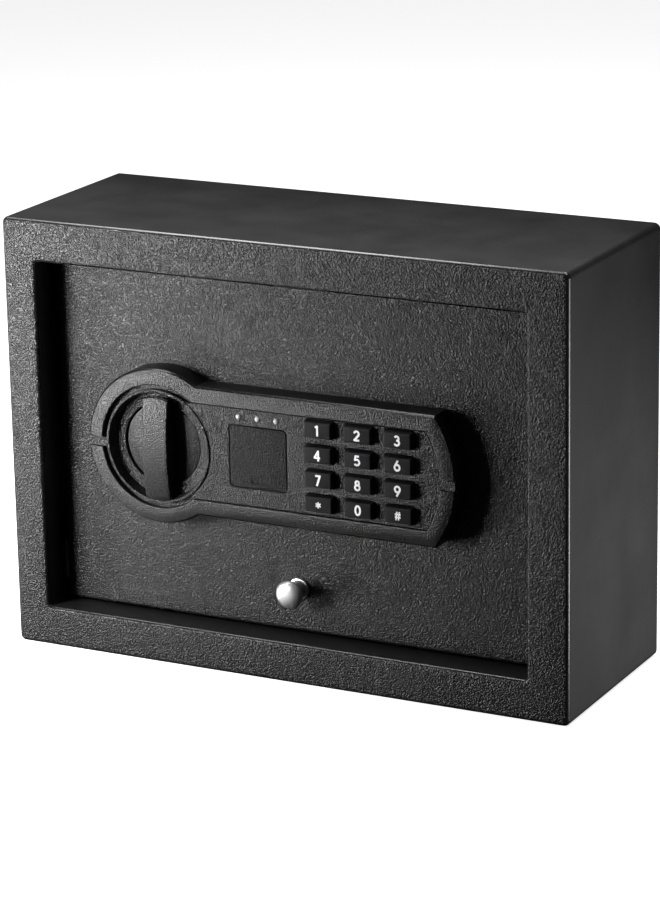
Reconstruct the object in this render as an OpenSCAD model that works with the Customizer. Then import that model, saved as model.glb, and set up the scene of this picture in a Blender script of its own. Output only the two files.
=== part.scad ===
// Desk-drawer safe: a shallow steel cabinet with a recessed, top-hinged door,
// a keypad lock with a recessed turn knob, two sliding bolts and a pull knob.
// X runs across the front, +Y runs into the cabinet and Z is up.
// The origin is the middle of the base. Depths are counted from the front face.

/* [Cabinet] */
// Width across the front
body_w = 300; // [300:1:340]
// Height of the cabinet
body_h = 218; // [218:1:240]
// Depth from front face to back
body_d = 110; // [100:1:160]
// Thickness of the cabinet sheet
sheet = 2; // [1.5:0.1:2.5]
// Outside radius of the long folded corners
corner_r = 2.5; // [1:0.1:4]
// Width of the front face at each side of the opening
face_side = 20; // [20:0.5:24]
// Height of the front face below the opening
face_foot = 20.5; // [20.5:0.5:24]
// Depth of the lip that lines the opening
lip_depth = 18; // [17:0.5:18]
// Spacing of the anchor holes across the back
anchor_w = 200; // [160:5:220]
// Spacing of the anchor holes up the back
anchor_h = 120; // [100:5:140]
// Radius of an anchor hole
anchor_r = 4; // [3:0.5:5]

/* [Door] */
// How far the door face sits behind the front face
door_recess = 16; // [16:0.5:16.5]
// Thickness of the door plate
door_t = 3; // [2.5:0.5:3]
// Gap around the door
door_gap = 1.5; // [1.2:0.1:2]
// Drop of the hinge axis below the door's top edge
hinge_drop = 16.5; // [15:0.5:17]
// Depth of the hinge axis behind the door face
hinge_back = 7; // [6:0.5:7]
// Radius of a hinge pin
hinge_pin_r = 2.5; // [2:0.1:3]

/* [Control panel] */
// X of the turn knob's axis
knob_x = -68; // [-70:0.5:-66]
// Height of the panel's centre line
panel_z = 110.2; // [109:0.1:111]
// Height of the panel above the door
panel_t = 13; // [12:0.5:13]
// Radius of the round end of the housing
ring_r = 38.9; // [38:0.1:40]
// Half height of the straight part of the housing
bar_half = 32.5; // [32:0.1:33]
// Radius of the shallow arc that ends the panel
end_r = 54.8; // [54:0.1:56]
// X of that arc's centre
end_x = 36.5; // [36:0.5:38]
// Size of a key at its foot, across and up
key_size = [15, 8.6]; // [8:0.1:15]
// Spacing of the keys, across and up
key_pitch = [21, 12.25]; // [12:0.05:21.5]
// Travel of a key
key_travel = 1.2; // [0.8:0.1:1.2]

/* [Bolt work] */
// Turn of the knob from unlocked to locked, in degrees
knob_turn = 70; // [60:1:70]
// Radius of the crank pin's circle
crank_r = 11; // [10:0.1:11]
// Radius of a locking bolt
bolt_r = 5; // [4:0.5:5]
// Distance of each bolt from the middle
bolt_x = 60; // [55:1:65]

/* [Hidden] */
$fn = 64;
EPS = 0.05;
half_w = body_w / 2;
open_half = half_w - face_side;
open_lo = face_foot;
open_hi = body_h - face_foot;

// door plate, in depths from the front face
door_face = door_recess;
door_back = door_recess + door_t;
door_half = open_half - door_gap;
door_lo = open_lo + door_gap;
door_hi = open_hi - door_gap;
flange_t = 2;
flange_x = door_half - 8.5;
flange_back = door_back + 14;
screw_bite = 1.8;
stud_screw_r = 2;
cable_at = [20, 134];
cable_r = 4;
weld_gap = 0.05;

// hinge
hinge_z = door_hi - hinge_drop;
hinge_d = door_face + hinge_back;
bracket_t = 2.5;
bracket_half = 14;
run_gap = 0.06;

// control panel, in depths from the front face
rim_d = door_face - panel_t;
rim_t = 2.5;
wall = 2;
fascia_d = rim_d + 0.8;
fascia_back = rim_d + 4.2;
island_ring = 29.8;
island_half = 24;
island_end = 46.3;
fit = 0.3;
tab_half = 2.35;
well_r = 28.4;
disc_r = 20.2;
disc_d = rim_d + 6.4;
well_floor = rim_d + 10;
grip_w = 12.6;
grip_tip = 26.4;
grip_d = rim_d - 2.7;
led_x = [-22.8, -12.6, -2.5];
led_z = panel_z + 20.5;
cover_x = -12.1;
cover_z = panel_z + 0.3;
cover_w = 30.4;
cover_t = 1.8;
key_x = 20.6;
key_z = panel_z + 19;
key_face_d = rim_d - 2.6;
key_stop = fascia_back + 0.3;
mat_d = key_stop + 0.8 + key_travel + 0.2;
board_d = mat_d + 0.8;
board_t = 1.6;
boss_at = [[-48, -28.2], [-48, 28.2], [62, -28.2], [62, 28.2]];
screw_r = 1.3;

// pull knob
pull_x = 1.5;
pull_z = 43.4;
pull_len = 14;
pull_screw_r = 2;

// bolt work, behind the door
travel = 2 * crank_r * sin(knob_turn / 2);
shaft_r = 4;
pin_r = 2;
crank_d = door_back + 1.5;
crank_t = 3.3;
carriage_d = door_back + 8;
carriage_t = 2;
beam_lo = 50;
beam_hi = 80;
beam_half = 82;
bolt_d = door_back + 7.5;
stud_at = [-20, 50];
stud_z = 60;
stud_r = 3;
arm_x = [-66, -50];
lug_x = -46;
plunger_z = 91;
slot_z = [for (s = [-1, 1]) panel_z + travel / 2 + s * (pin_r + fit)];
plunger_d = carriage_d + 1;
plunger_r = 2.5;
coil_x = [-41.3, -15.2];

// emergency lock
lock_r = 9;
plug_r = 5;
lock_front = rim_d + 6;
lock_end = door_back + 14;

// inner cover and battery tray
inner_d = door_back + 21;
inner_t = 1.6;
inner_half = 113;
inner_lo = 26;
inner_hi = 166;
cell_r = 7.1;
cell_pitch = 15.25;
tray_x = [40, 98];
tray_z = [88, 152];
tray_d = door_back + 2;
reset_at = [14, 141];
lead_r = 1.1;
board_x = [-2, 34];
board_z = [126, 156];
inner_board_d = door_back + 5;
cover_tab_z = [60, 135];
cover_screw_x = inner_half + 2.4;
cover_screw_r = 1.5;

KEY_LABELS = ["1", "2", "3", "4", "5", "6", "7", "8", "9", "star", "0", "hash"];
KEY_NODES = [for (k = KEY_LABELS) str("key_", k)];

// ---- places and basic shapes -------------------------------------------------

// y of a depth counted from the front face
function depth(d) = d - body_d / 2;

// arc points of a rounded rectangle around the origin
function rounded_points(w, h, r, n = 5) =
    [for (c = [0:3], i = [0:n])
        let (a = 90 * c + 90 * i / n,
             sx = (c == 0 || c == 3) ? 1 : -1,
             sz = (c < 2) ? 1 : -1)
        [sx * (w / 2 - r) + r * cos(a), sz * (h / 2 - r) + r * sin(a)]];

// box between two corners, x and z as drawn and y as depths
module block(x, d, z) {
    translate([x[0], depth(d[0]), z[0]])
        cube([x[1] - x[0], d[1] - d[0], z[1] - z[0]]);
}

// an outline drawn in the front view, thickened between two depths
module slab(d0, d1) {
    translate([0, depth(d1), 0]) rotate([90, 0, 0]) linear_extrude(d1 - d0) children();
}

// round bar along the depth
module rod_y(x, z, r, d0, d1) {
    translate([x, depth(d0), z]) rotate([-90, 0, 0]) cylinder(r = r, h = d1 - d0);
}

// round bar across the front
module rod_x(x0, x1, d, z, r) {
    translate([x0, depth(d), z]) rotate([0, 90, 0]) cylinder(r = r, h = x1 - x0);
}

// round bar upwards
module rod_z(x, d, z0, z1, r) {
    translate([x, depth(d), z0]) cylinder(r = r, h = z1 - z0);
}

// a profile of [radius, depth] points turned about an axis along the depth
module turned(x, z, points) {
    translate([x, depth(0), z]) rotate([-90, 0, 0]) rotate_extrude() polygon(points);
}

module both_sides() {
    children();
    mirror([1, 0, 0]) children();
}

// ---- cabinet -----------------------------------------------------------------

module cabinet_shell() color("#2b2b2c") {
    mid = body_h / 2;
    difference() {
        slab(0, body_d) translate([0, mid]) polygon(rounded_points(body_w, body_h, corner_r));
        block([-half_w + sheet, half_w - sheet], [sheet, body_d + 1], [sheet, body_h - sheet]);
        block([-open_half, open_half], [-1, sheet + 1], [open_lo, open_hi]);
    }
}

module door_frame() color("#2b2b2c") difference() {
    block([-open_half - sheet, open_half + sheet], [sheet, lip_depth],
          [open_lo - sheet, open_hi + sheet]);
    block([-open_half, open_half], [0, lip_depth + 1], [open_lo, open_hi]);
}

module anchor_holes(r, d0, d1)
    for (x = [-1, 1], z = [-1, 1])
        rod_y(x * anchor_w / 2, body_h / 2 + z * anchor_h / 2, r, d0, d1);

module back_panel() color("#2b2b2c") difference() {
    block([-half_w + sheet, half_w - sheet], [body_d - sheet, body_d], [sheet, body_h - sheet]);
    anchor_holes(anchor_r, body_d - sheet - 1, body_d + 1);
}

module interior_mat() color("#3a3b3d") difference() {
    mat_t = 2.5;
    edge = 4;
    front = body_d - sheet - mat_t;
    block([-half_w + edge, half_w - edge], [front, body_d - sheet], [edge, body_h - edge]);
    anchor_holes(2 * anchor_r, front - 1, body_d);
}

module hinge_brackets() color("#555557") both_sides() difference() {
    x = open_half + sheet;
    block([x, x + bracket_t], [5, hinge_d + 9], [hinge_z - bracket_half, hinge_z + bracket_half]);
    rod_x(x - 1, x + bracket_t + 1, hinge_d, hinge_z, hinge_pin_r);
}

module hinge_pins() color("#8d8e90") both_sides() {
    head_x = open_half + sheet + bracket_t;
    rod_x(flange_x - flange_t - 1, head_x, hinge_d, hinge_z, hinge_pin_r);
    rod_x(head_x, head_x + 1.5, hinge_d, hinge_z, hinge_pin_r + 1.5);
}

module door_stops() color("#555557") both_sides() {
    z = [open_lo + 9.5, open_lo + 29.5];
    x = open_half + sheet;
    stop_t = 2;
    leg_d = door_back + 0.3;
    block([x, x + stop_t], [8, leg_d + stop_t], z);
    block([door_half - 4, x + EPS], [leg_d, leg_d + stop_t], z);
}

// ---- door --------------------------------------------------------------------

module door_panel() color("#2c2c2d") difference() {
    union() {
        slab(door_face, door_back) translate([0, body_h / 2])
            polygon(rounded_points(2 * door_half, door_hi - door_lo, 1.5));
        both_sides()
            block([flange_x - flange_t, flange_x], [door_back, flange_back], [60, 190]);
        block([-110, 110], [door_back, flange_back], [door_lo, door_lo + flange_t]);
    }
    rod_x(-half_w, half_w, hinge_d, hinge_z, hinge_pin_r + run_gap);
    rod_y(knob_x, panel_z, 6, door_face - 1, door_back + 1);
    rod_y(cover_x, cover_z, lock_r, door_face - 1, door_back + 1);
    rod_y(pull_x, pull_z, pull_screw_r, door_face - 1, door_back + 1);
    rod_y(cable_at[0], cable_at[1], cable_r, door_face - 1, door_back + 1);
    for (b = boss_at) rod_y(b[0], panel_z + b[1], screw_r, door_face - 1, door_back + 1);
    for (s = [-1, 1], z = cover_tab_z)
        rod_y(s * cover_screw_x, z, cover_screw_r, door_back - screw_bite, door_back + 1);
    for (s = stud_at) rod_y(s, stud_z, stud_screw_r, door_back - screw_bite, door_back + 1);
    for (s = [-1, 1])
        rod_z(s * bolt_x, bolt_d, door_lo - 1, door_lo + flange_t + 1, bolt_r + run_gap);
}

module bolt_guide() color("#77787a") difference() {
    half = bolt_x + 18;
    z = 33;
    union() {
        block([-half, half], [door_back, flange_back], [z, z + 2]);
        block([-half, half], [door_back, door_back + 1.5], [z + 2, z + 6]);
    }
    for (s = [-1, 1]) rod_z(s * bolt_x, bolt_d, z - 1, z + 7, bolt_r + run_gap);
}

module guide_studs() color("#a0a1a3") for (s = stud_at) {
    under_head = carriage_d + carriage_t + 0.4;
    rod_y(s, stud_z, stud_screw_r, door_back - screw_bite, door_back + EPS);
    rod_y(s, stud_z, stud_r, door_back, under_head);
    rod_y(s, stud_z, stud_r + 2, under_head, under_head + 1.6);
}

// ---- pull knob ---------------------------------------------------------------

module pull_knob() color("#c4c5c7") difference() {
    head_r = 7;
    head_t = 7;
    head_d = door_face - pull_len + head_t / 2;
    turned(pull_x, pull_z, concat(
        [[0, door_face], [5.5, door_face], [5.5, door_face - 1.2], [4.6, door_face - 2.2],
         [3.8, door_face - 4], [4, door_face - 6]],
        [for (a = [-60:12:84]) [head_r * cos(a), head_d - head_t / 2 * sin(a)]],
        [[0, head_d - head_t / 2]]));
    rod_y(pull_x, pull_z, pull_screw_r, door_face - 8, door_face + 1);
}

module pull_knob_screw() color("#8d8e90") {
    rod_y(pull_x, pull_z, pull_screw_r, door_face - 7, door_back);
    difference() {
        rod_y(pull_x, pull_z, 4, door_back, door_back + 2.4);
        block([pull_x - 5, pull_x + 5], [door_back + 1.4, door_back + 3],
              [pull_z - 0.5, pull_z + 0.5]);
    }
}

// ---- control panel -----------------------------------------------------------

// keyhole outline: a disc around the knob and a bar that ends in a shallow arc
module panel_outline(disc, half, arc) {
    translate([knob_x, panel_z]) circle(r = disc, $fn = 128);
    translate([knob_x, panel_z - half]) square([end_x - knob_x, 2 * half]);
    intersection() {
        translate([end_x - 1, panel_z - half]) square([arc + 2, 2 * half]);
        translate([end_x, panel_z]) circle(r = arc, $fn = 128);
    }
}

module side_tabs(half, inset, d0, d1) {
    z = [panel_z - half, panel_z + half];
    block([knob_x - ring_r + inset, knob_x - island_ring + 0.5], [d0, d1], z);
    block([end_x + island_end - 0.5, end_x + end_r - inset], [d0, d1], z);
}

module control_housing() color("#1f1f20") difference() {
    union() {
        difference() {
            slab(rim_d, door_face) panel_outline(ring_r, bar_half, end_r);
            slab(rim_d + rim_t, door_face + 1)
                panel_outline(ring_r - wall, bar_half - wall, end_r - wall);
        }
        for (b = boss_at) rod_y(b[0], panel_z + b[1], 2.6, rim_d + rim_t, door_face);
    }
    slab(rim_d - 1, rim_d + rim_t + 1)
        panel_outline(island_ring + 1.1, island_half + fit, island_end + fit);
    side_tabs(tab_half + 0.25, -1, rim_d - 1, rim_d + rim_t);
    for (b = boss_at) rod_y(b[0], panel_z + b[1], screw_r, rim_d + 5, door_face + 1);
}

module housing_screws() color("#8d8e90") for (b = boss_at) {
    rod_y(b[0], panel_z + b[1], screw_r, rim_d + 6, door_back);
    rod_y(b[0], panel_z + b[1], 2.8, door_back, door_back + 1.8);
}

function key_at(k) = [key_x + key_pitch[0] * (k % 3), key_z - key_pitch[1] * floor(k / 3)];

module key_hole(k)
    translate(key_at(k)) square([key_size[0] + 2 * fit, key_size[1] + 2 * fit], center = true);

module cover_outline(w, r)
    translate([cover_x, cover_z]) polygon(rounded_points(w, w, r));

module control_fascia() color("#232324") {
    difference() {
        union() {
            slab(fascia_d, rim_d + rim_t + 0.1)
                panel_outline(island_ring, island_half, island_end);
            slab(rim_d + rim_t + 0.1, fascia_back)
                panel_outline(island_ring + 1.9, island_half + 1.3, island_end + 1.3);
            side_tabs(tab_half, 0.4, fascia_d, rim_d + rim_t);
        }
        rod_y(knob_x, panel_z, island_ring - 0.6, 0, fascia_back + 1);
        for (x = led_x) rod_y(x, led_z, 1.5, 0, fascia_back + 1);
        for (k = [0:11]) slab(0, fascia_back + 1) key_hole(k);
        slab(0, fascia_d + cover_t + 0.2) cover_outline(cover_w + 2 * fit, 2.1);
        slab(0, fascia_back + 1) cover_outline(cover_w - 3.4, 1);
    }
    turned(knob_x, panel_z,
        [[well_r, rim_d], [island_ring, rim_d], [island_ring, fascia_back],
         [disc_r + 2.2, disc_d + 2], [disc_r + 2.2, well_floor + 1.5],
         [shaft_r + 1, well_floor + 1.5], [shaft_r + 1, well_floor],
         [disc_r + 0.6, well_floor], [disc_r + 0.6, disc_d], [well_r, rim_d + 0.7]]);
}

module indicator_lenses() color("#e6e8ea") for (x = led_x)
    turned(x, led_z,
        concat([[0, board_d], [1.45, board_d]],
               [for (a = [0:15:75]) [1.45 * cos(a), rim_d + 0.9 - 1.1 * sin(a)]],
               [[0, rim_d - 0.2]]));

module key(k) color("#202022") {
    p = key_at(k);
    w = key_size[0] / 2;
    h = key_size[1] / 2;
    taper = 0.4;
    hull() {
        block([p[0] - w, p[0] + w], [fascia_d, key_stop + 0.1], [p[1] - h, p[1] + h]);
        block([p[0] - w + taper, p[0] + w - taper], [key_face_d, fascia_d],
              [p[1] - h + taper, p[1] + h - taper]);
    }
    block([p[0] - w - 1, p[0] + w + 1], [key_stop, key_stop + 0.8], [p[1] - h - 0.9, p[1] + h + 0.9]);
}

module key_mat() color("#3b3b3f")
    block([10, 74], [mat_d, board_d], [panel_z - 24.5, panel_z + 24.5]);

module keypad_board() color("#1d5b3a") difference() {
    union() {
        block([9, 76], [board_d, board_d + board_t], [panel_z - 25, panel_z + 25]);
        block([-30, 10], [board_d, board_d + board_t], [led_z - 4, led_z + 4]);
        block([12, 28], [board_d + board_t, board_d + board_t + 1.5], [115, 128]);
    }
    for (z = [-22.5, 22.5]) rod_y(31.5, panel_z + z, 1.1, board_d - 1, board_d + 3);
}

module override_cover() color("#232324") difference() {
    union() {
        slab(fascia_d, fascia_d + cover_t) cover_outline(cover_w, 1.8);
        for (s = [-1, 1])
            block([cover_x - 4, cover_x + 4], [fascia_d + cover_t, fascia_back + 1.5],
                  [cover_z + s * 12.4 - 0.6, cover_z + s * 12.4 + 0.6]);
    }
    block([cover_x - 4, cover_x + 4], [0, fascia_d + 0.5], [cover_z - 12.4, cover_z - 10.8]);
}

// ---- emergency lock ----------------------------------------------------------

module override_lock_body() color("#9a9b9d") difference() {
    union() {
        rod_y(cover_x, cover_z, lock_r, lock_front, lock_end);
        rod_y(cover_x, cover_z, lock_r + 2.5, lock_front, lock_front + 2);
    }
    rod_y(cover_x, cover_z, plug_r + run_gap, lock_front - 1, lock_end + 1);
}

module lock_nut() color("#8d8e90") difference() {
    translate([cover_x, depth(door_back), cover_z]) rotate([-90, 0, 0])
        cylinder(r = 12, h = 3.5, $fn = 6);
    rod_y(cover_x, cover_z, lock_r, door_back - 1, door_back + 5);
}

module override_plug() color("#b9a268") difference() {
    rod_y(cover_x, cover_z, plug_r, lock_front + 0.4, lock_end + 2);
    block([cover_x - 0.6, cover_x + 0.6], [lock_front, lock_front + 5],
          [cover_z - 3.2, cover_z + 3.2]);
    rod_y(cover_x, cover_z, 1.5, lock_end - 2, lock_end + 3);
}

module override_cam() color("#8d8e90") difference() {
    union() {
        rod_y(cover_x, cover_z, 6, lock_end + 2, lock_end + 3.8);
        block([cover_x - 4, cover_x + 4], [lock_end + 2, lock_end + 3.8], [cover_z - 18, cover_z]);
    }
    rod_y(cover_x, cover_z, 1.5, lock_end, lock_end + 5);
}

module cam_screw() color("#a0a1a3") {
    rod_y(cover_x, cover_z, 1.5, lock_end - 1, lock_end + 3.8);
    rod_y(cover_x, cover_z, 3, lock_end + 3.8, lock_end + 5.4);
}

// ---- turn knob and crank -----------------------------------------------------

module knob_bushing() color("#d8d6cc") difference() {
    union() {
        rod_y(knob_x, panel_z, 6, well_floor + 2, door_back + 0.2);
        rod_y(knob_x, panel_z, 8, door_back, door_back + 1.2);
    }
    rod_y(knob_x, panel_z, shaft_r + run_gap, well_floor, door_back + 2);
}

module turn_knob() color("#1d1d1e") difference() {
    union() {
        rod_y(knob_x, panel_z, disc_r, disc_d, disc_d + 2);
        rod_y(knob_x, panel_z, 8, disc_d + 2, well_floor - 0.3);
        intersection() {
            turned(knob_x, panel_z,
                [[0, disc_d + 0.5], [19.6, disc_d + 0.5], [19.6, disc_d - 0.2],
                 [grip_tip, rim_d + 0.4], [grip_tip, rim_d - 1.2], [20, grip_d + 0.4],
                 [0, grip_d]]);
            block([knob_x - grip_w / 2, knob_x + grip_w / 2], [-5, disc_d + 1],
                  [panel_z - 30, panel_z + 30]);
        }
    }
    rod_y(knob_x, panel_z, shaft_r, disc_d - 3, well_floor + 1);
}

module knob_shaft() color("#9a9b9d") {
    clip_d = crank_d + crank_t + 0.2;
    rod_y(knob_x, panel_z, shaft_r, disc_d - 3, clip_d);
    rod_y(knob_x, panel_z, shaft_r - 0.8, clip_d, clip_d + 0.8);
    rod_y(knob_x, panel_z, shaft_r, clip_d + 0.8, clip_d + 1.4);
}

module retaining_clip() color("#6e6f71") difference() {
    clip_d = crank_d + crank_t + 0.2;
    rod_y(knob_x, panel_z, 6.5, clip_d, clip_d + 0.8);
    rod_y(knob_x, panel_z, shaft_r - 0.8, clip_d - 1, clip_d + 2);
    block([knob_x - 7, knob_x], [clip_d - 1, clip_d + 2], [panel_z - 2.4, panel_z + 2.4]);
}

// the crank and its pin lean up by half the knob's turn when unlocked
module at_crank() {
    translate([knob_x, 0, panel_z]) rotate([0, -knob_turn / 2, 0])
        translate([-knob_x, 0, -panel_z]) children();
}

module crank() color("#77787a") at_crank() difference() {
    union() {
        rod_y(knob_x, panel_z, 7, crank_d, crank_d + crank_t);
        block([knob_x, knob_x + crank_r], [crank_d, crank_d + crank_t],
              [panel_z - 4, panel_z + 4]);
        rod_y(knob_x + crank_r, panel_z, 4, crank_d, crank_d + crank_t);
    }
    rod_y(knob_x, panel_z, shaft_r, crank_d - 1, crank_d + 5);
    rod_y(knob_x + crank_r, panel_z, pin_r, crank_d - 1, crank_d + 5);
}

module crank_pin() color("#a0a1a3") at_crank()
    rod_y(knob_x + crank_r, panel_z, pin_r, crank_d, carriage_d + carriage_t + 1.5);

// ---- bolt carriage -----------------------------------------------------------

// a slot that runs up from a stud's place by the carriage's travel
module stud_slot(x) {
    r = stud_r + fit;
    rod_y(x, stud_z, r, carriage_d - 1, carriage_d + carriage_t + 1);
    rod_y(x, stud_z + travel, r, carriage_d - 1, carriage_d + carriage_t + 1);
    block([x - r, x + r], [carriage_d - 1, carriage_d + carriage_t + 1],
          [stud_z, stud_z + travel]);
}

module bolt_carriage() color("#8f9092") difference() {
    thick = [carriage_d, carriage_d + carriage_t];
    union() {
        block(arm_x, thick, [beam_hi - 1, slot_z[0]]);
        block([-beam_half, beam_half], thick, [beam_lo, beam_hi]);
        block([-beam_half, beam_half], [door_back + 3.5, door_back + 12], [beam_lo, beam_lo + 2]);
    }
    for (x = stud_at) stud_slot(x);
}

// plates welded to the carriage's arm: the bar above the crank pin, the strap that
// carries it, and the lug that the solenoid plunger blocks from either side
module carriage_plates() color("#8f9092") {
    back = carriage_d + carriage_t + weld_gap;
    block([arm_x[0], arm_x[1] + 2], [carriage_d, carriage_d + carriage_t],
          [slot_z[1], slot_z[1] + 5]);
    block([arm_x[1] - 4, arm_x[1] + 2], [back, back + 1.5],
          [plunger_z + travel + 3.8, slot_z[1] + 5]);
    block([arm_x[1] - 10, lug_x], [back, back + carriage_t],
          [plunger_z + 3.2, plunger_z + travel - 3.2]);
}

module bolt(x) color("#c9cacc") {
    tip = door_lo + 1;
    rod_z(x, bolt_d, tip + 1, beam_lo, bolt_r);
    translate([x, depth(bolt_d), tip]) cylinder(r1 = bolt_r - 1, r2 = bolt_r, h = 1);
}

module bolt_left() bolt(-bolt_x);

module bolt_right() bolt(bolt_x);

// ---- solenoid ----------------------------------------------------------------

module solenoid_frame() color("#9fa0a2") difference() {
    z = [plunger_z - 6.5, plunger_z + 6.5];
    union() {
        block([coil_x[0] - 1.7, coil_x[1] + 1.7], [door_back, door_back + 1.5], z);
        block([coil_x[0] - 1.7, coil_x[0] - 0.2], [door_back, plunger_d + 6.5], z);
        block([coil_x[1] + 0.2, coil_x[1] + 1.7], [door_back, plunger_d + 6.5], z);
    }
    rod_x(coil_x[0] - 5, coil_x[0] + 1, plunger_d, plunger_z, plunger_r + run_gap);
}

module solenoid_coil() color("#8a4a2a") difference() {
    rod_x(coil_x[0], coil_x[1], plunger_d, plunger_z, 6);
    rod_x(coil_x[0] - 1, coil_x[1] + 1, plunger_d, plunger_z, plunger_r + run_gap);
}

module solenoid_plunger() color("#b5b6b8") {
    tip = lug_x + 1;
    rod_x(tip + 1, -22, plunger_d, plunger_z, plunger_r);
    translate([tip, depth(plunger_d), plunger_z]) rotate([0, 90, 0])
        cylinder(r1 = plunger_r - 0.8, r2 = plunger_r, h = 1);
}

// a round wire wound into a coil along X, as one closed surface
module plunger_spring() color("#c2c3c5") {
    turns = 5;
    steps = 12;
    sides = 6;
    coil_r = 1.7;
    wire_r = 0.3;
    length = 6;
    rings = turns * steps;
    points = [for (i = [0:rings], j = [0:sides - 1])
        let (a = 360 * i / steps, b = 360 * j / sides, r = coil_r + wire_r * cos(b))
        [length * i / rings + wire_r * sin(b), r * cos(a), r * sin(a)]];
    sleeve = [for (i = [0:rings - 1], j = [0:sides - 1])
        let (n = (j + 1) % sides)
        [i * sides + j, i * sides + n, (i + 1) * sides + n, (i + 1) * sides + j]];
    ends = [[for (j = [sides - 1:-1:0]) j], [for (j = [0:sides - 1]) rings * sides + j]];
    translate([-21.5, depth(plunger_d), plunger_z])
        polyhedron(points, concat(sleeve, ends), convexity = 10);
}

// ---- electronics -------------------------------------------------------------

module control_board() color("#1d5b3a") {
    top = inner_board_d + board_t;
    block(board_x, [inner_board_d, top], board_z);
    block([reset_at[0] - 3, reset_at[0] + 3], [top, top + 2.2],
          [reset_at[1] - 3, reset_at[1] + 3]);
    block([24, 32], [top, top + 5], [144, 152]);
    block([2, 10], [top, top + 5], [128, 133]);
}

module board_standoffs() color("#d8d6cc")
    for (x = [board_x[0] + 3, board_x[1] - 3], z = [board_z[0] + 3, board_z[1] - 3])
        rod_y(x, z, 2.4, door_back, inner_board_d);

module reset_button() color("#b3261e") {
    switch_top = inner_board_d + board_t + 2.2;
    rod_y(reset_at[0], reset_at[1], 3, switch_top + 1.3, inner_d + inner_t + 0.6);
    rod_y(reset_at[0], reset_at[1], 4.5, inner_d - 3.5, inner_d - 2);
}

// leads from the battery tray, the coil and the keypad to the inner board
module wiring_loom() color("#7a1f1f") {
    lead_d = inner_board_d + 4;
    coil_mid = -30;
    coil_lead_z = 130.5;
    rod_x(32, tray_x[0], lead_d, 148, lead_r);
    rod_z(coil_mid, lead_d, plunger_z + 6.1, coil_lead_z, lead_r);
    translate([coil_mid, depth(lead_d), coil_lead_z]) sphere(r = lead_r);
    rod_x(coil_mid, 2, lead_d, coil_lead_z, lead_r);
    rod_y(cable_at[0], cable_at[1], lead_r, board_d + board_t, inner_board_d);
}

// ---- inner cover and batteries -----------------------------------------------

module inner_cover() color("#39393b") difference() {
    union() {
        block([-inner_half, inner_half], [inner_d, inner_d + inner_t], [inner_lo, inner_hi]);
        both_sides()
            block([inner_half - inner_t, inner_half], [door_back, inner_d], [inner_lo, inner_hi]);
        block([-inner_half, inner_half], [door_back, inner_d], [inner_hi - inner_t, inner_hi]);
        both_sides() for (z = cover_tab_z)
            block([inner_half - EPS, flange_x - flange_t - 0.5], [door_back, door_back + 1.5],
                  [z - 5, z + 5]);
    }
    block([tray_x[0] - 2, tray_x[1] + 2], [inner_d - 1, inner_d + 3],
          [tray_z[0] - 2, tray_z[1] + 2]);
    rod_y(reset_at[0], reset_at[1], 3.3, inner_d - 1, inner_d + 3);
    for (s = [-1, 1], z = cover_tab_z)
        rod_y(s * cover_screw_x, z, cover_screw_r, door_back - 1, door_back + 3);
}

module cover_screws() color("#8d8e90") for (s = [-1, 1], z = cover_tab_z) {
    x = s * cover_screw_x;
    rod_y(x, z, cover_screw_r, door_back - screw_bite, door_back + 1.5);
    rod_y(x, z, 2.3, door_back + 1.5, door_back + 3.1);
}

function cell_z(i) = (tray_z[0] + tray_z[1]) / 2 + cell_pitch * (i - 1.5);

module battery_tray() color("#1c1c1e") difference() {
    t = 1.5;
    block(tray_x, [tray_d, inner_d - 1], tray_z);
    for (i = [0:3])
        block([tray_x[0] + t, tray_x[1] - t], [tray_d + t, inner_d],
              [cell_z(i) - cell_r - 0.2, cell_z(i) + cell_r + 0.2]);
}

module battery_contacts() color("#d9d9d4") for (i = [0:3], s = [-1, 1]) {
    mid = (tray_x[0] + tray_x[1]) / 2;
    cell_d = tray_d + 1.5 + cell_r + 0.3;
    translate([mid, 0, 0]) mirror([s < 0 ? 1 : 0, 0, 0]) translate([-mid, 0, 0]) {
        block([tray_x[1] - 2, tray_x[1] - 1.5], [cell_d - 4, cell_d + 4],
              [cell_z(i) - 4, cell_z(i) + 4]);
        translate([tray_x[1] - 4.2, depth(cell_d), cell_z(i)]) rotate([0, 90, 0])
            cylinder(r1 = 1.6, r2 = 3, h = 2.2);
    }
}

module batteries() color("#7d8f3a") for (i = [0:3]) {
    cell_d = tray_d + 1.5 + cell_r + 0.3;
    nub_left = i % 2 == 0;
    rod_x(tray_x[0] + (nub_left ? 5.2 : 4.2), tray_x[1] - (nub_left ? 4.2 : 5.2),
          cell_d, cell_z(i), cell_r);
    rod_x(nub_left ? tray_x[0] + 4.2 : tray_x[1] - 5.2 - EPS,
          nub_left ? tray_x[0] + 5.2 + EPS : tray_x[1] - 4.2, cell_d, cell_z(i), 2.6);
}

module battery_cover() color("#39393b") {
    gap = 1.7;
    block([tray_x[0] - gap, tray_x[1] + gap], [inner_d, inner_d + inner_t],
          [tray_z[0] - gap, tray_z[1] + gap]);
    block([60, 78], [inner_d + inner_t - EPS, inner_d + inner_t + 1.2],
          [tray_z[0] + 4, tray_z[0] + 6]);
}

// ---- assembly ----------------------------------------------------------------

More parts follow.
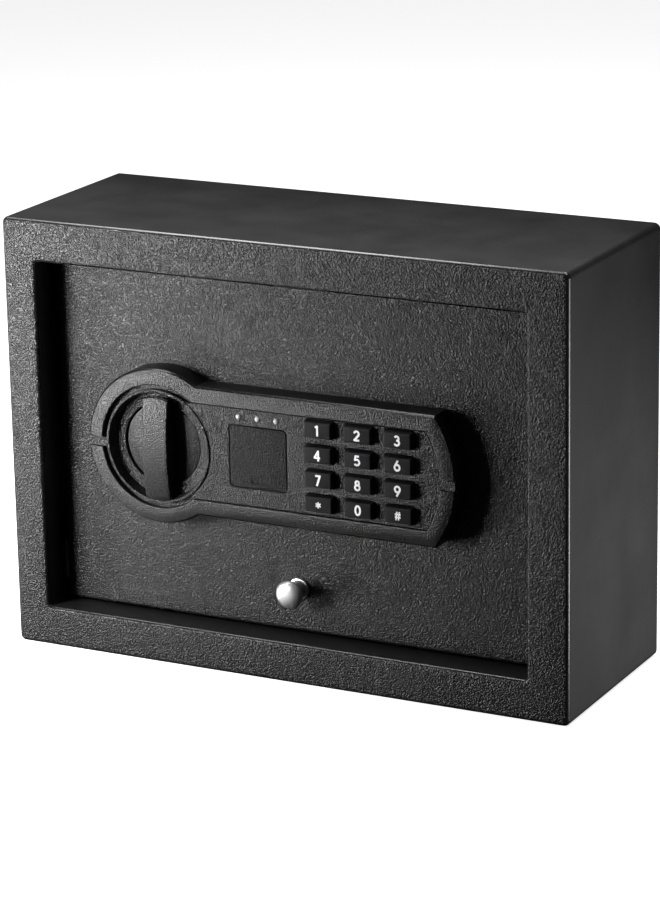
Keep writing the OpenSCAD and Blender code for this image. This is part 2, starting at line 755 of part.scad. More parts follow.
cabinet_shell();
door_frame();
back_panel();
interior_mat();
hinge_brackets();
hinge_pins();
door_stops();
door_panel();
bolt_guide();
guide_studs();
pull_knob();
pull_knob_screw();
control_housing();
housing_screws();
control_fascia();
indicator_lenses();
key_mat();
keypad_board();
override_cover();
override_lock_body();
lock_nut();
override_plug();
override_cam();
cam_screw();
knob_bushing();
turn_knob();
knob_shaft();
crank();
crank_pin();
retaining_clip();
bolt_carriage();
carriage_plates();
bolt_left();
bolt_right();
solenoid_frame();
solenoid_coil();
solenoid_plunger();
plunger_spring();
control_board();
board_standoffs();
inner_cover();
cover_screws();
battery_tray();
battery_contacts();
batteries();
battery_cover();
reset_button();
wiring_loom();
for (k = [0:11])
    key(k);
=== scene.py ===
import math

import bmesh
import bpy
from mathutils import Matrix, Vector
from mathutils.geometry import delaunay_2d_cdt, tessellate_polygon


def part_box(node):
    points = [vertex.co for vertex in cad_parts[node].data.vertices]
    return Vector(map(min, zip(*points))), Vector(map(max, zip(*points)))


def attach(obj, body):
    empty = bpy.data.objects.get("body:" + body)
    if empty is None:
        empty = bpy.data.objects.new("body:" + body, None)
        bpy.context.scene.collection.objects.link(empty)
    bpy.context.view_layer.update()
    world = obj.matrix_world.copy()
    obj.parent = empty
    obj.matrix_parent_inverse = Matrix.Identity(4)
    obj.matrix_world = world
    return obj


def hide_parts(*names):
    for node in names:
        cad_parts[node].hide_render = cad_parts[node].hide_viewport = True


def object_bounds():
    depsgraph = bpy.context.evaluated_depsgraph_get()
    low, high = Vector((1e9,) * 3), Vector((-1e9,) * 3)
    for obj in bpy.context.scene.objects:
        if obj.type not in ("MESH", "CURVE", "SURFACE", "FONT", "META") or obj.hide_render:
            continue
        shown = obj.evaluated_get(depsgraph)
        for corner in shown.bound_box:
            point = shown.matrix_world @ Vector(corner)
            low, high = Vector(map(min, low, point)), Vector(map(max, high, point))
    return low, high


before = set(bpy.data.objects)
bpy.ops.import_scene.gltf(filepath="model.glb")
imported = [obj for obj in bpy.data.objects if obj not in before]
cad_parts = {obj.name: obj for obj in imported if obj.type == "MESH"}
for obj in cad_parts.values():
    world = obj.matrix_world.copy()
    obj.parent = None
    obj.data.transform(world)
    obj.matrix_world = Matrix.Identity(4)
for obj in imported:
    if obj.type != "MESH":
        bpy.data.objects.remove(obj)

CAD_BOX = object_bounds()
MM = 0.001
FRONT_Y = CAD_BOX[0].y


# ---- sizes in millimetres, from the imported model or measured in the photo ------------

def span(node):
    """The node's box as ((x0, x1), (depth0, depth1), (z0, z1)), depths from the front face."""
    low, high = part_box(node)
    return ((low.x / MM, high.x / MM),
            ((low.y - FRONT_Y) / MM, (high.y - FRONT_Y) / MM),
            (low.z / MM, high.z / MM))


def middle(pair):
    return sum(pair) / 2


# Cabinet and the opening in its front
SHELL = span("cabinet_shell")
FRAME = span("door_frame")
SHEET = 2.0
BODY_W = SHELL[0][1] - SHELL[0][0]
BODY_H = SHELL[2][1] - SHELL[2][0]
BODY_D = SHELL[1][1]
MID_Z = BODY_H / 2
OPEN_X = -1.7       # the photo has the opening left of centre
OPEN_DROP = 0.8     # and its upper edge lower than the CAD's
OPEN_W = FRAME[0][1] - FRAME[0][0] - 2 * SHEET
OPEN_H = FRAME[2][1] - FRAME[2][0] - 2 * SHEET - OPEN_DROP
OPEN_Z = MID_Z - OPEN_DROP / 2
LIP_END = FRAME[1][1]
LIP_R = 1.2         # radius of the opening's four corners
ANCHOR_X, ANCHOR_Z = 100.0, 60.0    # anchor holes, from the middle of the back

# Door
DOOR = span("door_panel")
DOOR_FACE = DOOR[1][0]
DOOR_T = 3.0
DOOR_LOWER = 1.0    # how far the plate reaches below the CAD's
SIDE_FLANGE = 118.0, 120.0
SIDE_FLANGE_Z = 60, 190
LOWER_FLANGE = 110
PULL = span("pull_knob")
PULL_X, PULL_Z = middle(PULL[0]), middle(PULL[2])
LOCK_X, LOCK_Z = (middle(span("override_plug")[k]) for k in (0, 2))

# Control panel: a disc round the knob and a bar that ends in a shallow arc
HOUSING = span("control_housing")
RIM = HOUSING[1][0]
KNOB_X, PANEL_Z = (middle(span("knob_shaft")[k]) for k in (0, 2))
RING_R = KNOB_X - HOUSING[0][0]
END_X = 36.5        # centre of the arc at the bar's end
COLLAR_R = 28.6     # ring of the fascia round the knob
# Keyholes: the disc's radius, the bar's half height and the end arc's radius
RIM_OUTSIDE = RING_R, 32.5, 54.8
RIM_INSIDE = 30.9, 24.3, 46.6
FASCIA_EDGE = COLLAR_R, 24.0, 46.3
BACKING_EDGE = 31.7, 25.3, 47.6
TONGUE_Z = PANEL_Z - 1.0    # the fascia's tongues, which show in slots in the rim
TONGUE_HALF = 2.35
FASCIA = RIM + 0.8
FASCIA_REAR = RIM + 2.55
BACKING = RIM + 2.6
BACKING_REAR = RIM + 4.2
KEY_NAMES = ["1", "2", "3", "4", "5", "6", "7", "8", "9", "star", "0", "hash"]
KEY_W, KEY_H = 15.0, 8.6
LENSES = [(x, 130.2) for x in (-23.2, -13.0, -2.9)]
LENS_R = 1.45
COVER = span("override_cover")
COVER_X, COVER_Z = middle(COVER[0]) - 1.0, middle(COVER[2])
COVER_W = COVER[0][1] - COVER[0][0]
FIGURE_H, FIGURE_LINE, SYMBOL_LINE = 5.4, 1.0, 0.8
FIGURE_PROUD, FIGURE_T = 0.03, 0.06
CARRIED_EDGE = 0.12     # edge width on the nodes that keep the CAD's shape


# ---- mesh building -------------------------------------------------------------------

def at(x, d, z):
    """A point in metres from x, depth behind the front face and z in mm."""
    return Vector((x * MM, FRONT_Y + d * MM, z * MM))


class Solid:
    """Closed shells gathered into one mesh."""

    def __init__(self):
        self.verts = []
        self.faces = []

    def ring(self, points):
        first = len(self.verts)
        self.verts.extend(points)
        return list(range(first, first + len(points)))

    def join(self, a, b):
        """Quads between two rings of equal length."""
        for i in range(len(a)):
            j = (i + 1) % len(a)
            self.faces.append((a[i], a[j], b[j], b[i]))

    def skin(self, rings, closed=False):
        """A skin over rings of equal length; closed joins the last to the first, or else they
        are capped."""
        rows = [self.ring(r) for r in rings]
        for a, b in zip(rows, rows[1:]):
            self.join(a, b)
        if closed:
            self.join(rows[-1], rows[0])
        else:
            self.faces.append(tuple(reversed(rows[0])))
            self.faces.append(tuple(rows[-1]))

    def plate(self, loops):
        """A plate between two flat faces. Each loop is (outline function, profile of (inset,
        depth)): the first loop is the outside and the others are holes."""
        rows = []
        for outline, profile in loops:
            ids = [self.ring([at(x, d, z) for x, z in outline(inset)]) for inset, d in profile]
            for a, b in zip(ids, ids[1:]):
                self.join(a, b)
            rows.append(ids)
        for end in (0, -1):
            ids = [r[end] for r in rows]
            flat = [[Vector((self.verts[i].x, self.verts[i].z, 0)) for i in loop] for loop in ids]
            every = [i for loop in ids for i in loop]
            for tri in tessellate_polygon(flat):
                self.faces.append(tuple(every[k] for k in tri))

    def lathe(self, cx, cz, profile, sides):
        """A profile of (radius, depth) turned about the front-to-back axis through (cx, cz)."""
        rows = []
        for radius, d in profile:
            count = 1 if radius < 1e-6 else sides
            turns = [2 * math.pi * i / sides for i in range(count)]
            rows.append(self.ring([at(cx + radius * math.cos(a), d, cz + radius * math.sin(a))
                                   for a in turns]))
        for a, b in zip(rows, rows[1:]):
            if len(a) == len(b) == sides:
                self.join(a, b)
            elif len(a) != len(b):
                for i in range(sides):
                    j = (i + 1) % sides
                    self.faces.append((a[0], b[j], b[i]) if len(a) == 1 else (a[i], a[j], b[0]))

    def block(self, x, d, z, edge):
        """A box with rounded edges."""
        edge = min(edge, 0.45 * min(x[1] - x[0], d[1] - d[0], z[1] - z[0]))
        outline = rounded(middle(x), middle(z), x[1] - x[0], z[1] - z[0], 1.02 * edge, 3)
        self.plate([(outline, soft_edge(d[0], edge, 3) + soft_edge(d[1], -edge, 3))])

    def mesh(self, name, sharp):
        """The mesh, shaded smooth but for edges sharper than this many degrees."""
        mesh = bpy.data.meshes.new(name)
        mesh.from_pydata([tuple(v) for v in self.verts], [], self.faces)
        work = bmesh.new()
        work.from_mesh(mesh)
        bmesh.ops.remove_doubles(work, verts=work.verts, dist=1e-7)
        bmesh.ops.dissolve_degenerate(work, edges=work.edges, dist=1e-7)
        bmesh.ops.recalc_face_normals(work, faces=work.faces)
        work.to_mesh(mesh)
        work.free()
        mesh.shade_smooth()
        mesh.set_sharp_from_angle(angle=math.radians(sharp))
        return mesh


def soft_edge(d, r, steps):
    """Profile of a rounded edge at depth d: r > 0 starts on the face at d, r < 0 ends on it."""
    arc = [(abs(r) * (1 - math.sin(math.pi / 2 * i / steps)),
            d + r * (1 - math.cos(math.pi / 2 * i / steps))) for i in range(steps + 1)]
    return arc if r > 0 else arc[::-1]


def rounded(cx, cz, w, h, r, steps=6, hole=False):
    """Outline function of a rounded rectangle; its argument insets it into the material."""
    def outline(inset):
        g = -inset if hole else inset
        rr = max(r - g, 0.02)
        points = []
        for c, (sx, sz) in enumerate(((1, 1), (-1, 1), (-1, -1), (1, -1))):
            for i in range(steps + 1):
                a = math.pi / 2 * (c + i / steps)
                points.append((cx + sx * (w / 2 - g - rr) + rr * math.cos(a),
                               cz + sz * (h / 2 - g - rr) + rr * math.sin(a)))
        return points
    return outline


def circle(cx, cz, r, sides=64):
    """Outline function of a round hole."""
    def outline(inset):
        rr = r + inset
        return [(cx + rr * math.cos(2 * math.pi * i / sides),
                 cz + rr * math.sin(2 * math.pi * i / sides)) for i in range(sides)]
    return outline


def sweep(cx, cz, r, a0, a1, n):
    """n + 1 points along an arc, with the angles in radians."""
    return [(cx + r * math.cos(a0 + (a1 - a0) * i / n),
             cz + r * math.sin(a0 + (a1 - a0) * i / n)) for i in range(n + 1)]


def keyhole(disc, half, arc, hole=False, tabs=None):
    """Outline function of the panel: a disc round the knob and a bar that ends in a shallow arc.
    tabs = (half height, reach left, reach right) adds a small tongue at each end."""
    def outline(inset):
        g = -inset if hole else inset
        d, h, e = disc - g, half - g, arc - g
        start, stop = math.asin(h / d), math.asin(h / e)
        if not tabs:
            return (sweep(KNOB_X, PANEL_Z, d, start, 2 * math.pi - start, 120)
                    + sweep(END_X, PANEL_Z, e, -stop, stop, 40))
        drop = TONGUE_Z - PANEL_Z
        lo, hi = drop - tabs[0] + g, drop + tabs[0] - g
        left, right = tabs[1] + g, tabs[2] - g
        return (sweep(KNOB_X, PANEL_Z, d, start, math.pi - math.asin(hi / d), 60)
                + [(left, PANEL_Z + hi), (left, PANEL_Z + lo)]
                + sweep(KNOB_X, PANEL_Z, d, math.pi - math.asin(lo / d), 2 * math.pi - start, 60)
                + sweep(END_X, PANEL_Z, e, -stop, math.asin(lo / e), 20)
                + [(right, PANEL_Z + lo), (right, PANEL_Z + hi)]
                + sweep(END_X, PANEL_Z, e, math.asin(hi / e), stop, 20))
    return outline


def reverse(outline):
    return lambda inset: outline(inset)[::-1]


def straight(d0, d1, edge0=0.0, edge1=0.0, steps=3):
    """Profile down a wall from depth d0 to d1 with rounded edges."""
    front = soft_edge(d0, edge0, steps) if edge0 else [(0.0, d0)]
    back = soft_edge(d1, -edge1, steps) if edge1 else [(0.0, d1)]
    return front + back


# ---- materials -----------------------------------------------------------------------

class Paint:
    """A node material built round one Principled shader."""

    def __init__(self, name, **sockets):
        self.mat = bpy.data.materials.new(name)
        self.mat.use_nodes = True
        self.tree = self.mat.node_tree
        self.shader = self.tree.nodes["Principled BSDF"]
        for key, value in sockets.items():
            self.shader.inputs[key.replace("_", " ")].default_value = value
        self.coords = self.tree.nodes.new("ShaderNodeTexCoord").outputs["Object"]
        self.normal = None

    def node(self, kind, inputs=(), **settings):
        """A node with settings of its own, and with each input set to a value or linked."""
        made = self.tree.nodes.new(kind)
        for key, value in settings.items():
            setattr(made, key, value)
        for key, value in dict(inputs).items():
            if isinstance(value, bpy.types.NodeSocket):
                self.tree.links.new(value, made.inputs[key])
            else:
                made.inputs[key].default_value = value
        return made

    def stretched(self, scale):
        return self.node("ShaderNodeMapping", {"Vector": self.coords, "Scale": scale}).outputs[0]

    def noise(self, scale, detail=3.0, rough=0.55, vector=None, distortion=0.0):
        return self.node("ShaderNodeTexNoise", {
            "Vector": vector or self.coords, "Scale": scale, "Detail": detail,
            "Roughness": rough, "Distortion": distortion}).outputs["Fac"]

    def cells(self, scale, output="Distance"):
        return self.node("ShaderNodeTexVoronoi", {
            "Vector": self.coords, "Scale": scale}).outputs[output]

    def maths(self, operation, a, b=0.0):
        return self.node("ShaderNodeMath", {0: a, 1: b}, operation=operation).outputs[0]

    def spread(self, value, low, high, from_low=0.3, from_high=0.7):
        """A value in one range mapped to another range."""
        return self.node("ShaderNodeMapRange", {
            "Value": value, "From Min": from_low, "From Max": from_high,
            "To Min": low, "To Max": high}).outputs[0]

    def tones(self, value, *stops):
        """A colour ramp of (place, colour) stops."""
        ramp = self.node("ShaderNodeValToRGB", {"Fac": value})
        while len(ramp.color_ramp.elements) < len(stops):
            ramp.color_ramp.elements.new(0.5)
        for element, (place, colour) in zip(ramp.color_ramp.elements, stops):
            element.position = place
            element.color = (*colour, 1.0)
        return ramp.outputs["Color"]

    def bump(self, height, strength, distance):
        """A bump over those made before it, with the distance in mm."""
        inputs = {"Height": height, "Strength": strength, "Distance": distance * MM}
        if self.normal:
            inputs["Normal"] = self.normal
        self.normal = self.node("ShaderNodeBump", inputs).outputs[0]
        self.drive("Normal", self.normal)

    def drive(self, socket, value):
        self.tree.links.new(value, self.shader.inputs[socket])


def grey(v):
    return (v, v, v)


FOLD_POLISH = 0.2
GRAIN = 1500.0


def grained(name, dark, light, rough, grain, strength, fleck, **sockets):
    """Moulded or powder-coated black: fine bump grain, mottled tone and uneven gloss. turned is 1
    on faces square to the front; other faces have less grain, and folded edges are glossier."""
    p = Paint(name, **sockets)
    fine = p.noise(grain, 0.0, 0.5)
    broad = p.noise(35.0, 3.0)
    p.drive("Base Color", p.tones(fine, (0.35, grey(dark)), (0.62, grey(light)),
                                  (0.78, grey(light + fleck))))
    normal = p.node("ShaderNodeTexCoord").outputs["Normal"]
    facing = p.node("ShaderNodeSeparateXYZ", {"Vector": normal}).outputs["Y"]
    turned = p.maths("ABSOLUTE", facing)
    polish = p.tones(turned, (0.06, grey(0.0)), (0.25, grey(FOLD_POLISH)),
                     (0.85, grey(FOLD_POLISH)), (0.95, grey(0.0)))
    uneven = p.spread(broad, rough - 0.04, rough + 0.05)
    p.drive("Roughness", p.maths("SUBTRACT", uneven, polish))
    p.bump(p.noise(180.0, 2.0), 0.06, 0.2)
    p.bump(fine, p.spread(turned, 0.02, strength, 0.8, 0.97), 1.0)
    return p.mat


def black(name, rough, strength, **sockets):
    """The black that the coats and the panel's mouldings share."""
    return grained(name, 0.006, 0.011, rough, GRAIN, strength, 0.01, **sockets)


def metal(name, colour, rough, grain=900.0, strength=0.12, brushed=None):
    """Bare or plated metal with fine texture; brushed stretches the marks along an axis."""
    p = Paint(name, Metallic=1.0)
    vector = p.stretched(brushed) if brushed else p.coords
    marks = p.noise(grain, 4.0, 0.6, vector)
    cloud = p.noise(60.0, 3.0)
    p.drive("Base Color", p.tones(cloud, (0.3, tuple(0.86 * c for c in colour)), (0.7, colour)))
    p.drive("Roughness", p.spread(marks, rough - 0.05, rough + 0.07))
    p.bump(marks, strength, 0.04)
    return p.mat


def zinc():
    """Zinc-plated sheet with a faint spangle."""
    p = Paint("zinc_steel", Metallic=1.0)
    spangle = p.cells(260.0, output="Color")
    value = p.node("ShaderNodeSeparateColor", {"Color": spangle}).outputs[0]
    p.drive("Base Color", p.tones(value, (0.0, (0.42, 0.43, 0.45)), (1.0, (0.6, 0.61, 0.62))))
    p.drive("Roughness", p.spread(value, 0.3, 0.44, 0.0, 1.0))
    p.bump(p.noise(1200.0, 2.0), 0.1, 0.03)
    return p.mat


def felt():
    """Short-pile felt."""
    p = Paint("felt", Roughness=0.95, Sheen_Weight=0.35, Sheen_Roughness=0.5)
    fibre = p.noise(900.0, 4.0, 0.7, distortion=1.5)
    broad = p.noise(45.0, 3.0)
    tone = p.maths("MULTIPLY", fibre, broad)
    p.drive("Base Color", p.tones(tone, (0.12, grey(0.018)), (0.42, grey(0.06))))
    p.bump(fibre, 0.7, 0.5)
    p.bump(p.cells(420.0), 0.35, 0.5)
    return p.mat


def rubber(name, tone, rough, gloss=0.5):
    """Moulded rubber with a little texture."""
    p = Paint(name, Specular_IOR_Level=gloss)
    fine = p.noise(GRAIN, 2.0)
    p.drive("Base Color", p.tones(p.noise(120.0, 3.0), (0.3, grey(tone * 0.85)),
                                  (0.7, grey(tone * 1.15))))
    p.drive("Roughness", p.spread(fine, rough - 0.04, rough + 0.05))
    p.bump(fine, 0.08, 0.04)
    return p.mat


def legend():
    """The white print on the keys."""
    p = Paint("key_legend")
    fine = p.noise(2200.0, 2.0)
    p.drive("Base Color", p.tones(fine, (0.3, grey(0.8)), (0.7, grey(0.9))))
    p.drive("Roughness", p.spread(fine, 0.45, 0.6))
    p.bump(fine, 0.05, 0.02)
    return p.mat


def lens():
    """Clear plastic of the indicators."""
    p = Paint("lens_clear", IOR=1.49, Transmission_Weight=0.45)
    swirl = p.noise(700.0, 2.0)
    p.drive("Base Color", p.tones(swirl, (0.3, (0.78, 0.79, 0.8)), (0.7, (0.92, 0.93, 0.94))))
    p.drive("Roughness", p.spread(swirl, 0.08, 0.16))
    return p.mat


def board():
    """Circuit board: copper tracks under green lacquer."""
    p = Paint("circuit_board", Coat_Weight=0.4, Coat_Roughness=0.25)
    tracks = p.node("ShaderNodeTexBrick", {
        "Vector": p.node("ShaderNodeMapping", {
            "Vector": p.coords, "Rotation": (math.pi / 2, 0.0, 0.0)}).outputs[0],
        "Color1": (0.012, 0.085, 0.035, 1), "Color2": (0.016, 0.11, 0.045, 1),
        "Mortar": (0.03, 0.2, 0.07, 1), "Scale": 1.0, "Mortar Size": 0.0003,
        "Brick Width": 0.0075, "Row Height": 0.0022})
    p.drive("Base Color", tracks.outputs["Color"])
    p.drive("Roughness", p.spread(p.noise(300.0), 0.35, 0.5))
    p.bump(tracks.outputs["Fac"], 0.3, 0.05)
    return p.mat


def brass():
    """Turned brass of the lock."""
    p = Paint("lock_brass", Metallic=1.0)
    turn = p.noise(1600.0, 3.0, 0.6, p.stretched((1.0, 0.08, 1.0)))
    p.drive("Base Color", p.tones(p.noise(200.0), (0.3, (0.5, 0.36, 0.13)),
                                  (0.7, (0.66, 0.49, 0.2))))
    p.drive("Roughness", p.spread(turn, 0.2, 0.36))
    p.bump(turn, 0.12, 0.04)
    return p.mat


def winding():
    """Taped coil winding."""
    p = Paint("coil_tape")
    wave = p.node("ShaderNodeTexWave", {"Vector": p.coords, "Scale": 1400.0, "Distortion": 0.6,
                                        "Detail": 1.0}, bands_direction="X").outputs["Fac"]
    p.drive("Base Color", p.tones(wave, (0.2, (0.16, 0.05, 0.018)), (0.8, (0.42, 0.17, 0.06))))
    p.drive("Roughness", p.spread(wave, 0.5, 0.3, 0.0, 1.0))
    p.bump(wave, 0.6, 0.12)
    return p.mat


def sleeve():
    """Printed sleeve of a cell, with a coloured band from band_x to one end."""
    band_x = 0.081
    p = Paint("cell_sleeve", Coat_Weight=0.5, Coat_Roughness=0.12)
    along = p.node("ShaderNodeSeparateXYZ", {"Vector": p.coords}).outputs["X"]
    band = p.maths("GREATER_THAN", along, band_x)
    p.drive("Base Color", p.tones(band, (0.0, (0.035, 0.04, 0.045)), (1.0, (0.45, 0.3, 0.07))))
    p.drive("Roughness", p.spread(p.noise(400.0), 0.25, 0.36))
    p.bump(p.noise(150.0, 2.0), 0.08, 0.05)
    return p.mat


def plastic(name, dark, light, rough):
    """Smooth moulded plastic."""
    p = Paint(name)
    fine = p.noise(1300.0, 2.0)
    p.drive("Base Color", p.tones(p.noise(90.0, 3.0), (0.3, dark), (0.7, light)))
    p.drive("Roughness", p.spread(fine, rough - 0.04, rough + 0.05))
    p.bump(fine, 0.15, 0.05)
    return p.mat


MATS = {
    "powder_coat": black("powder_coat", 0.46, 0.8),
    "door_coat": black("door_coat", 0.48, 0.85),
    "cover_coat": black("cover_coat", 0.56, 0.7),
    "housing_plastic": black("housing_plastic", 0.42, 0.45, Specular_IOR_Level=0.41),
    "fascia_plastic": black("fascia_plastic", 0.42, 0.75),
    "knob_plastic": black("knob_plastic", 0.42, 0.3, Specular_IOR_Level=0.3),
    "tray_plastic": grained("tray_plastic", 0.014, 0.02, 0.45, 1200.0, 0.3, 0.0),
    "key_rubber": rubber("key_rubber", 0.011, 0.55, 0.12),
    "mat_rubber": rubber("mat_rubber", 0.05, 0.6),
    "felt": felt(),
    "zinc_steel": zinc(),
    "fastener_steel": metal("fastener_steel", (0.56, 0.56, 0.57), 0.32),
    "bolt_steel": metal("bolt_steel", (0.72, 0.72, 0.73), 0.2, 700.0, 0.08, (1.0, 1.0, 0.05)),
    "satin_metal": metal("satin_metal", (0.8, 0.8, 0.81), 0.46, GRAIN, 0.1),
    "contact_metal": metal("contact_metal", (0.72, 0.7, 0.64), 0.26),
    "lock_brass": brass(),
    "lens_clear": lens(),
    "circuit_board": board(),
    "coil_tape": winding(),
    "cell_sleeve": sleeve(),
    "nylon": plastic("nylon", (0.5, 0.49, 0.45), (0.6, 0.59, 0.55), 0.4),
    "red_plastic": plastic("red_plastic", (0.36, 0.016, 0.012), (0.44, 0.022, 0.016), 0.32),
    "wire_sleeve": plastic("wire_sleeve", (0.16, 0.012, 0.012), (0.22, 0.018, 0.016), 0.4),
}
LEGEND = legend()
COVER_PLASTIC = black("lock_cover_plastic", 0.46, 0.7, Specular_IOR_Level=0.2)


def piece(name, solid, body, slot, nodes, sharp=32, material=None):
    """Makes an object of a Solid, rides it on a body and lets it stand for CAD nodes. Its material
    is the slot's unless another is given."""
    made = bpy.data.objects.new(name, solid.mesh(name, sharp))
    bpy.context.scene.collection.objects.link(made)
    made.data.materials.append(material or MATS[slot])
    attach(made, body)
    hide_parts(*nodes)
    return made


# ---- cabinet -------------------------------------------------------------------------

def ring_at(w, h, r, d, x=0.0, z=MID_Z):
    """Points of a rounded rectangle at depth d."""
    return [at(px, d, pz) for px, pz in rounded(x, z, w, h, r, 8)(0.0)]


def cabinet():
    """The folded shell and the lip round the door opening, as one sheet."""
    fold, lip_fold, back_edge = 2.6, 2.6, 0.5
    mouth = OPEN_X, OPEN_Z
    rings = [ring_at(OPEN_W + 0.4, OPEN_H + 0.4, LIP_R + 0.2, LIP_END, *mouth),
             ring_at(OPEN_W, OPEN_H, LIP_R, LIP_END - 0.3, *mouth)]
    for inset, d in soft_edge(0, lip_fold, 6)[::-1]:
        rings.append(ring_at(OPEN_W + 2 * inset, OPEN_H + 2 * inset, LIP_R + inset, d, *mouth))
    for inset, d in soft_edge(0, fold, 7) + soft_edge(BODY_D, -back_edge, 3):
        rings.append(ring_at(BODY_W - 2 * inset, BODY_H - 2 * inset, 3.2 - inset, d))
    for gap, d in ((SHEET, BODY_D), (SHEET, SHEET)):
        rings.append(ring_at(BODY_W - 2 * gap, BODY_H - 2 * gap, 0.5, d))
    for d in (SHEET, LIP_END):
        rings.append(ring_at(OPEN_W + 2 * SHEET, OPEN_H + 2 * SHEET, 2.4, d, *mouth))
    s = Solid()
    s.skin(rings, closed=True)
    piece("cabinet_body", s, "cabinet", "powder_coat", ("cabinet_shell", "door_frame"))


def pierced(node, gap, corner, profile, hole_r, hole_profile):
    """A plate as large as the node, less a gap, with the four anchor holes."""
    (x0, x1), (d0, d1), (z0, z1) = span(node)
    outer = rounded(0, MID_Z, x1 - x0 - gap, z1 - z0 - gap, corner)
    holes = [circle(sx * ANCHOR_X, MID_Z + sz * ANCHOR_Z, hole_r)
             for sx in (-1, 1) for sz in (-1, 1)]
    s = Solid()
    s.plate([(outer, straight(d0, d1, *profile))]
            + [(hole, straight(d0, d1, *hole_profile)) for hole in holes])
    return s


def back_and_mat():
    back = pierced("back_panel", 0.3, 0.6, (0.1, 0.35), 4.0, (0.3, 0.5))
    piece("back_plate", back, "cabinet", "powder_coat", ("back_panel",))
    mat = pierced("interior_mat", 0.4, 3.0, (0.9, 0.1), 8.0, (0.9, 0.1))
    piece("felt_mat", mat, "cabinet", "felt", ("interior_mat",))


# ---- door ----------------------------------------------------------------------------

def door():
    """The plate, which is placed with the opening, and the flanges behind it, which stay with the
    CAD; the lower one leaves room round the bolts."""
    (x0, x1), (d0, d1), (low, high) = DOOR
    bottom, top, rear = low - DOOR_LOWER, high - OPEN_DROP, d0 + DOOR_T
    plate = rounded((x0 + x1) / 2 + OPEN_X, (bottom + top) / 2, x1 - x0, top - bottom, 1.5)
    holes = [(KNOB_X, PANEL_Z, 6.0), (LOCK_X, LOCK_Z, 9.0), (PULL_X, PULL_Z, 2.0)]
    s = Solid()
    s.plate([(plate, straight(d0, rear, 2.6, 0.3, 6))]
            + [(circle(x, z, r), straight(d0, rear)) for x, z, r in holes])
    inner = rear - 0.2
    for side in (-1, 1):
        s.block(sorted(side * x for x in SIDE_FLANGE), (inner, d1), SIDE_FLANGE_Z, 0.6)
    flange, ends = (low, low + SHEET), [-LOWER_FLANGE]
    for node in ("bolt_left", "bolt_right"):
        bolt, depth, _ = span(node)
        gap = bolt[0] - 0.5, bolt[1] + 0.5
        ends += gap
        s.block(gap, (depth[1] + 0.5, d1), flange, 0.4)
        s.block(gap, (inner, depth[0] - 0.5), flange, 0.4)
    ends.append(LOWER_FLANGE)
    for start, stop in zip(ends[::2], ends[1::2]):
        s.block((start, stop), (inner, d1), flange, 0.6)
    piece("door_plate", s, "door", "door_coat", ("door_panel",))


def pull_knob():
    """A washer face against the door, a waisted neck and a rounded head."""
    d0, d1 = PULL[1]
    head_r = (PULL[0][1] - PULL[0][0]) / 2
    foot_r, half = 5.25, 3.4
    profile = [(0, d1), (5.3, d1), (5.5, d1 - 0.25), (5.5, d1 - 0.95), (foot_r, d1 - 1.25)]
    for i in range(1, 9):
        t = i / 8
        profile.append((foot_r - 1.6 * math.sin(math.pi / 2 * t), d1 - 1.25 - 2.5 * t * t))
    profile += [(3.6, d1 - 5.0), (3.9, d1 - 6.2), (4.6, d1 - 7.0)]
    for i in range(24):
        a = math.radians(-52 + 142 * i / 24)
        profile.append((head_r * math.cos(a) ** 0.8, d0 + half - half * math.sin(a)))
    profile.append((0, d0))
    s = Solid()
    s.lathe(PULL_X, PULL_Z, profile, sides=72)
    piece("pull_knob_head", s, "door", "satin_metal", ("pull_knob",), sharp=40)


# ---- control panel -------------------------------------------------------------------

def housing():
    """The rim: one closed section carried round the keyhole. From its inner edge the face falls
    away to a chamfer, and the wall goes down to the door."""
    wall, thick, drop, edge, flank = 2.0, 2.5, 0.85, 1.0, 1.0
    outer = keyhole(*RIM_OUTSIDE)
    inner = keyhole(*(size - wall for size in RIM_OUTSIDE))
    isle = keyhole(*RIM_INSIDE, hole=True)
    crown, steps = RIM_OUTSIDE[0] - RIM_INSIDE[0] - 0.9, 6
    brow = RIM + drop
    section = [(isle, inset, RIM + d) for inset, d in (
        (0, thick), (0, 0.5), (0.06, 0.3), (0.2, 0.12), (0.42, 0.02), (0.7, 0))]
    for i in range(steps + 1):
        t = i / steps
        section.append((outer, crown + (edge - crown) * t, RIM + drop * t * t))
    section += [(outer, inset, brow + d) for inset, d in (
        (edge - 0.08, 0.1), (0.1, flank - 0.12), (0.02, flank + 0.05), (0, flank + 0.25))]
    section += [(outer, 0, DOOR_FACE), (inner, 0, DOOR_FACE), (inner, 0, RIM + thick)]
    s = Solid()
    s.skin([[at(x, d, z) for x, z in outline(inset)] for outline, inset, d in section], closed=True)
    cut_slots(piece("panel_housing", s, "door", "housing_plastic", ("control_housing",)))


def cut_slots(made):
    """Cuts a slot for the fascia's tongue through the rim at each end."""
    half = TONGUE_HALF + 0.25
    for x in ((HOUSING[0][0] - 1, KNOB_X - 29.0), (END_X + 45.5, HOUSING[0][1] + 1)):
        slot = Solid()
        slot.block(x, (RIM - 1, RIM + 2.5), (TONGUE_Z - half, TONGUE_Z + half), 0.01)
        cutter = bpy.data.objects.new("cutter", slot.mesh("cutter", 30))
        bpy.context.scene.collection.objects.link(cutter)
        step = made.modifiers.new("slot", "BOOLEAN")
        step.operation, step.solver, step.object = "DIFFERENCE", "EXACT", cutter
        shaped = bpy.data.meshes.new_from_object(
            made.evaluated_get(bpy.context.evaluated_depsgraph_get()))
        made.modifiers.clear()
        made.data = shaped
        bpy.data.objects.remove(cutter)
    made.data.shade_smooth()
    made.data.set_sharp_from_angle(angle=math.radians(32))


def key_centre(label):
    x, _, z = span("key_" + label)
    return middle(x), middle(z)


